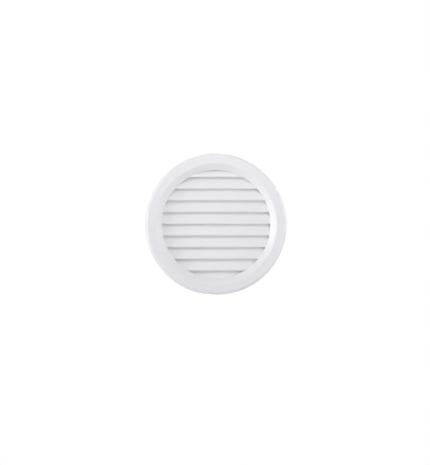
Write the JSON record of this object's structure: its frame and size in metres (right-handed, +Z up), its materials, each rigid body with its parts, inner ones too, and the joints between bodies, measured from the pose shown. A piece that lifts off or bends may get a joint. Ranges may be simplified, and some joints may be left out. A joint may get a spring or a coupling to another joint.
{
  "type": "round vent cover",
  "caption": "Round white plastic vent cover: a flat ring flange with a bevelled mouth, fixed sloping louvre blades and a plain spigot that pushes into a duct.",
  "frame": {"origin": "on the duct's axis, in the plane of the wall that the flange's back rim stands on", "axes": "+Y along the spigot into the duct, so that the front faces -Y; +Z up, across the level blades; +X along the blades"},
  "size_m": [0.12, 0.029, 0.12],
  "materials": {
    "white_plastic": "satin, as moulded"
  },
  "bodies": {
    "root": {"vent_cover": "white_plastic"}
  },
  "joints": []
}
